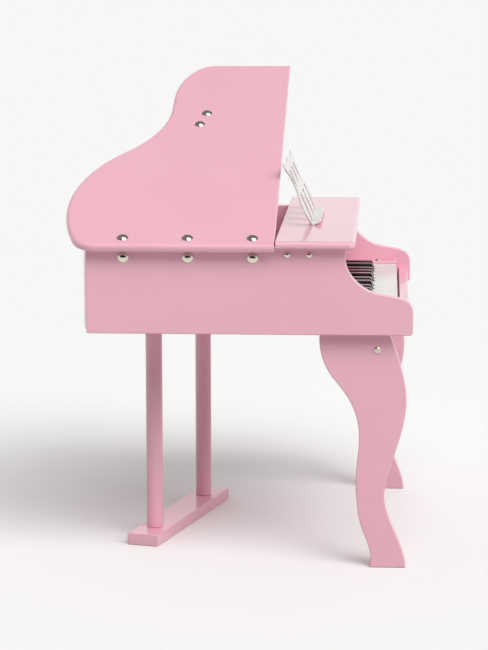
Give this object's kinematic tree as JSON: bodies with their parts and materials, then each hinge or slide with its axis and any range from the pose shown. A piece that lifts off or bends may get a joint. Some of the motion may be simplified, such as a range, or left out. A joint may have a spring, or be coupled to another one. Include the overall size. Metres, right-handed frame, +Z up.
{
  "type": "toy baby grand piano",
  "caption": "Pink lacquered toy baby grand piano on cabriole front legs and rear posts, with a hinged lid on a prop, a leaning music rest and keys that rock to strike chime bars.",
  "frame": {"origin": "on the floor below the middle of the piano's bounding box", "axes": "+X from bass to treble, +Y from the keyboard to the tail, +Z up"},
  "size_m": [0.5092, 0.4255, 0.5898],
  "materials": {
    "pink_lacquer": "gloss paint",
    "white_lacquer": "gloss paint",
    "black_lacquer": "gloss paint",
    "bare_wood": "sanded",
    "rest_plastic": "satin",
    "bolt_chrome": "polished",
    "hinge_steel": "plain",
    "chime_steel": "drawn",
    "chime_alloy": "cast",
    "felt": "felt"
  },
  "bodies": {
    "case": {"bass_side_panel": "pink_lacquer", "treble_side_panel": "pink_lacquer", "bent_rim": "pink_lacquer", "bottom_board": "pink_lacquer", "key_slip": "pink_lacquer", "key_blocks": "pink_lacquer", "name_board": "pink_lacquer", "top_board": "pink_lacquer", "shelf_batten": "pink_lacquer", "music_rest": "rest_plastic", "front_leg_bass": "pink_lacquer", "front_leg_treble": "pink_lacquer", "leg_rail": "pink_lacquer", "rear_posts": "pink_lacquer", "rear_foot_bar": "pink_lacquer", "hinge_case_leaves": "hinge_steel", "side_dome_bolts": "bolt_chrome", "prop_bracket": "pink_lacquer", "prop_pivot_screw": "bolt_chrome", "chime_bars": "chime_steel", "chime_rail": "chime_alloy", "balance_rail": "bare_wood", "balance_rod": "chime_steel", "key_felts": "felt"},
    "lid": {"lid": "pink_lacquer", "hinge_lid_leaves": "hinge_steel", "lid_dome_bolts": "bolt_chrome", "prop_rest_pad": "pink_lacquer"},
    "prop": {"lid_prop": "pink_lacquer"},
    "white_key_01": {"white_key_01": "white_lacquer"},
    "white_key_02": {"white_key_02": "white_lacquer"},
    "white_key_03": {"white_key_03": "white_lacquer"},
    "white_key_04": {"white_key_04": "white_lacquer"},
    "white_key_05": {"white_key_05": "white_lacquer"},
    "white_key_06": {"white_key_06": "white_lacquer"},
    "white_key_07": {"white_key_07": "white_lacquer"},
    "white_key_08": {"white_key_08": "white_lacquer"},
    "white_key_09": {"white_key_09": "white_lacquer"},
    "white_key_10": {"white_key_10": "white_lacquer"},
    "white_key_11": {"white_key_11": "white_lacquer"},
    "white_key_12": {"white_key_12": "white_lacquer"},
    "white_key_13": {"white_key_13": "white_lacquer"},
    "white_key_14": {"white_key_14": "white_lacquer"},
    "white_key_15": {"white_key_15": "white_lacquer"},
    "white_key_16": {"white_key_16": "white_lacquer"},
    "white_key_17": {"white_key_17": "white_lacquer"},
    "white_key_18": {"white_key_18": "white_lacquer"},
    "black_key_01": {"black_key_01": "black_lacquer"},
    "black_key_02": {"black_key_02": "black_lacquer"},
    "black_key_03": {"black_key_03": "black_lacquer"},
    "black_key_04": {"black_key_04": "black_lacquer"},
    "black_key_05": {"black_key_05": "black_lacquer"},
    "black_key_06": {"black_key_06": "black_lacquer"},
    "black_key_07": {"black_key_07": "black_lacquer"},
    "black_key_08": {"black_key_08": "black_lacquer"},
    "black_key_09": {"black_key_09": "black_lacquer"},
    "black_key_10": {"black_key_10": "black_lacquer"},
    "black_key_11": {"black_key_11": "black_lacquer"},
    "black_key_12": {"black_key_12": "black_lacquer"}
  },
  "joints": [
    {"name": "lid_hinge", "type": "hinge", "parent": "case", "child": "lid", "pos_m": [-0.2413, 0, 0.39675], "axis": [0, -1, 0], "range_deg": [-22, 0]},
    {"name": "prop_pivot", "type": "hinge", "parent": "case", "child": "prop", "pos_m": [0.01609, 0.06115, 0.378], "axis": [0, -1, 0], "range_deg": [-88, 0]},
    {"name": "white_key_01_rock", "type": "hinge", "parent": "case", "child": "white_key_01", "pos_m": [0, -0.10775, 0.3115], "axis": [1, 0, 0], "range_deg": [0, 3.5], "stiffness_Nm_per_rad": 0.1, "springref_deg": -11.46},
    {"name": "white_key_02_rock", "type": "hinge", "parent": "case", "child": "white_key_02", "pos_m": [0, -0.10775, 0.3115], "axis": [1, 0, 0], "range_deg": [0, 3.5], "stiffness_Nm_per_rad": 0.1, "springref_deg": -11.46},
    {"name": "white_key_03_rock", "type": "hinge", "parent": "case", "child": "white_key_03", "pos_m": [0, -0.10775, 0.3115], "axis": [1, 0, 0], "range_deg": [0, 3.5], "stiffness_Nm_per_rad": 0.1, "springref_deg": -11.46},
    {"name": "white_key_04_rock", "type": "hinge", "parent": "case", "child": "white_key_04", "pos_m": [0, -0.10775, 0.3115], "axis": [1, 0, 0], "range_deg": [0, 3.5], "stiffness_Nm_per_rad": 0.1, "springref_deg": -11.46},
    {"name": "white_key_05_rock", "type": "hinge", "parent": "case", "child": "white_key_05", "pos_m": [0, -0.10775, 0.3115], "axis": [1, 0, 0], "range_deg": [0, 3.5], "stiffness_Nm_per_rad": 0.1, "springref_deg": -11.46},
    {"name": "white_key_06_rock", "type": "hinge", "parent": "case", "child": "white_key_06", "pos_m": [0, -0.10775, 0.3115], "axis": [1, 0, 0], "range_deg": [0, 3.5], "stiffness_Nm_per_rad": 0.1, "springref_deg": -11.46},
    {"name": "white_key_07_rock", "type": "hinge", "parent": "case", "child": "white_key_07", "pos_m": [0, -0.10775, 0.3115], "axis": [1, 0, 0], "range_deg": [0, 3.5], "stiffness_Nm_per_rad": 0.1, "springref_deg": -11.46},
    {"name": "white_key_08_rock", "type": "hinge", "parent": "case", "child": "white_key_08", "pos_m": [0, -0.10775, 0.3115], "axis": [1, 0, 0], "range_deg": [0, 3.5], "stiffness_Nm_per_rad": 0.1, "springref_deg": -11.46},
    {"name": "white_key_09_rock", "type": "hinge", "parent": "case", "child": "white_key_09", "pos_m": [0, -0.10775, 0.3115], "axis": [1, 0, 0], "range_deg": [0, 3.5], "stiffness_Nm_per_rad": 0.1, "springref_deg": -11.46},
    {"name": "white_key_10_rock", "type": "hinge", "parent": "case", "child": "white_key_10", "pos_m": [0, -0.10775, 0.3115], "axis": [1, 0, 0], "range_deg": [0, 3.5], "stiffness_Nm_per_rad": 0.1, "springref_deg": -11.46},
    {"name": "white_key_11_rock", "type": "hinge", "parent": "case", "child": "white_key_11", "pos_m": [0, -0.10775, 0.3115], "axis": [1, 0, 0], "range_deg": [0, 3.5], "stiffness_Nm_per_rad": 0.1, "springref_deg": -11.46},
    {"name": "white_key_12_rock", "type": "hinge", "parent": "case", "child": "white_key_12", "pos_m": [0, -0.10775, 0.3115], "axis": [1, 0, 0], "range_deg": [0, 3.5], "stiffness_Nm_per_rad": 0.1, "springref_deg": -11.46},
    {"name": "white_key_13_rock", "type": "hinge", "parent": "case", "child": "white_key_13", "pos_m": [0, -0.10775, 0.3115], "axis": [1, 0, 0], "range_deg": [0, 3.5], "stiffness_Nm_per_rad": 0.1, "springref_deg": -11.46},
    {"name": "white_key_14_rock", "type": "hinge", "parent": "case", "child": "white_key_14", "pos_m": [0, -0.10775, 0.3115], "axis": [1, 0, 0], "range_deg": [0, 3.5], "stiffness_Nm_per_rad": 0.1, "springref_deg": -11.46},
    {"name": "white_key_15_rock", "type": "hinge", "parent": "case", "child": "white_key_15", "pos_m": [0, -0.10775, 0.3115], "axis": [1, 0, 0], "range_deg": [0, 3.5], "stiffness_Nm_per_rad": 0.1, "springref_deg": -11.46},
    {"name": "white_key_16_rock", "type": "hinge", "parent": "case", "child": "white_key_16", "pos_m": [0, -0.10775, 0.3115], "axis": [1, 0, 0], "range_deg": [0, 3.5], "stiffness_Nm_per_rad": 0.1, "springref_deg": -11.46},
    {"name": "white_key_17_rock", "type": "hinge", "parent": "case", "child": "white_key_17", "pos_m": [0, -0.10775, 0.3115], "axis": [1, 0, 0], "range_deg": [0, 3.5], "stiffness_Nm_per_rad": 0.1, "springref_deg": -11.46},
    {"name": "white_key_18_rock", "type": "hinge", "parent": "case", "child": "white_key_18", "pos_m": [0, -0.10775, 0.3115], "axis": [1, 0, 0], "range_deg": [0, 3.5], "stiffness_Nm_per_rad": 0.1, "springref_deg": -11.46},
    {"name": "black_key_01_rock", "type": "hinge", "parent": "case", "child": "black_key_01", "pos_m": [0, -0.10775, 0.3115], "axis": [1, 0, 0], "range_deg": [0, 3.5], "stiffness_Nm_per_rad": 0.1, "springref_deg": -11.46},
    {"name": "black_key_02_rock", "type": "hinge", "parent": "case", "child": "black_key_02", "pos_m": [0, -0.10775, 0.3115], "axis": [1, 0, 0], "range_deg": [0, 3.5], "stiffness_Nm_per_rad": 0.1, "springref_deg": -11.46},
    {"name": "black_key_03_rock", "type": "hinge", "parent": "case", "child": "black_key_03", "pos_m": [0, -0.10775, 0.3115], "axis": [1, 0, 0], "range_deg": [0, 3.5], "stiffness_Nm_per_rad": 0.1, "springref_deg": -11.46},
    {"name": "black_key_04_rock", "type": "hinge", "parent": "case", "child": "black_key_04", "pos_m": [0, -0.10775, 0.3115], "axis": [1, 0, 0], "range_deg": [0, 3.5], "stiffness_Nm_per_rad": 0.1, "springref_deg": -11.46},
    {"name": "black_key_05_rock", "type": "hinge", "parent": "case", "child": "black_key_05", "pos_m": [0, -0.10775, 0.3115], "axis": [1, 0, 0], "range_deg": [0, 3.5], "stiffness_Nm_per_rad": 0.1, "springref_deg": -11.46},
    {"name": "black_key_06_rock", "type": "hinge", "parent": "case", "child": "black_key_06", "pos_m": [0, -0.10775, 0.3115], "axis": [1, 0, 0], "range_deg": [0, 3.5], "stiffness_Nm_per_rad": 0.1, "springref_deg": -11.46},
    {"name": "black_key_07_rock", "type": "hinge", "parent": "case", "child": "black_key_07", "pos_m": [0, -0.10775, 0.3115], "axis": [1, 0, 0], "range_deg": [0, 3.5], "stiffness_Nm_per_rad": 0.1, "springref_deg": -11.46},
    {"name": "black_key_08_rock", "type": "hinge", "parent": "case", "child": "black_key_08", "pos_m": [0, -0.10775, 0.3115], "axis": [1, 0, 0], "range_deg": [0, 3.5], "stiffness_Nm_per_rad": 0.1, "springref_deg": -11.46},
    {"name": "black_key_09_rock", "type": "hinge", "parent": "case", "child": "black_key_09", "pos_m": [0, -0.10775, 0.3115], "axis": [1, 0, 0], "range_deg": [0, 3.5], "stiffness_Nm_per_rad": 0.1, "springref_deg": -11.46},
    {"name": "black_key_10_rock", "type": "hinge", "parent": "case", "child": "black_key_10", "pos_m": [0, -0.10775, 0.3115], "axis": [1, 0, 0], "range_deg": [0, 3.5], "stiffness_Nm_per_rad": 0.1, "springref_deg": -11.46},
    {"name": "black_key_11_rock", "type": "hinge", "parent": "case", "child": "black_key_11", "pos_m": [0, -0.10775, 0.3115], "axis": [1, 0, 0], "range_deg": [0, 3.5], "stiffness_Nm_per_rad": 0.1, "springref_deg": -11.46},
    {"name": "black_key_12_rock", "type": "hinge", "parent": "case", "child": "black_key_12", "pos_m": [0, -0.10775, 0.3115], "axis": [1, 0, 0], "range_deg": [0, 3.5], "stiffness_Nm_per_rad": 0.1, "springref_deg": -11.46}
  ],
  "couplings": [
    {"joint": "prop_pivot", "follows": "lid_hinge", "ratio": 3.98}
  ]
}
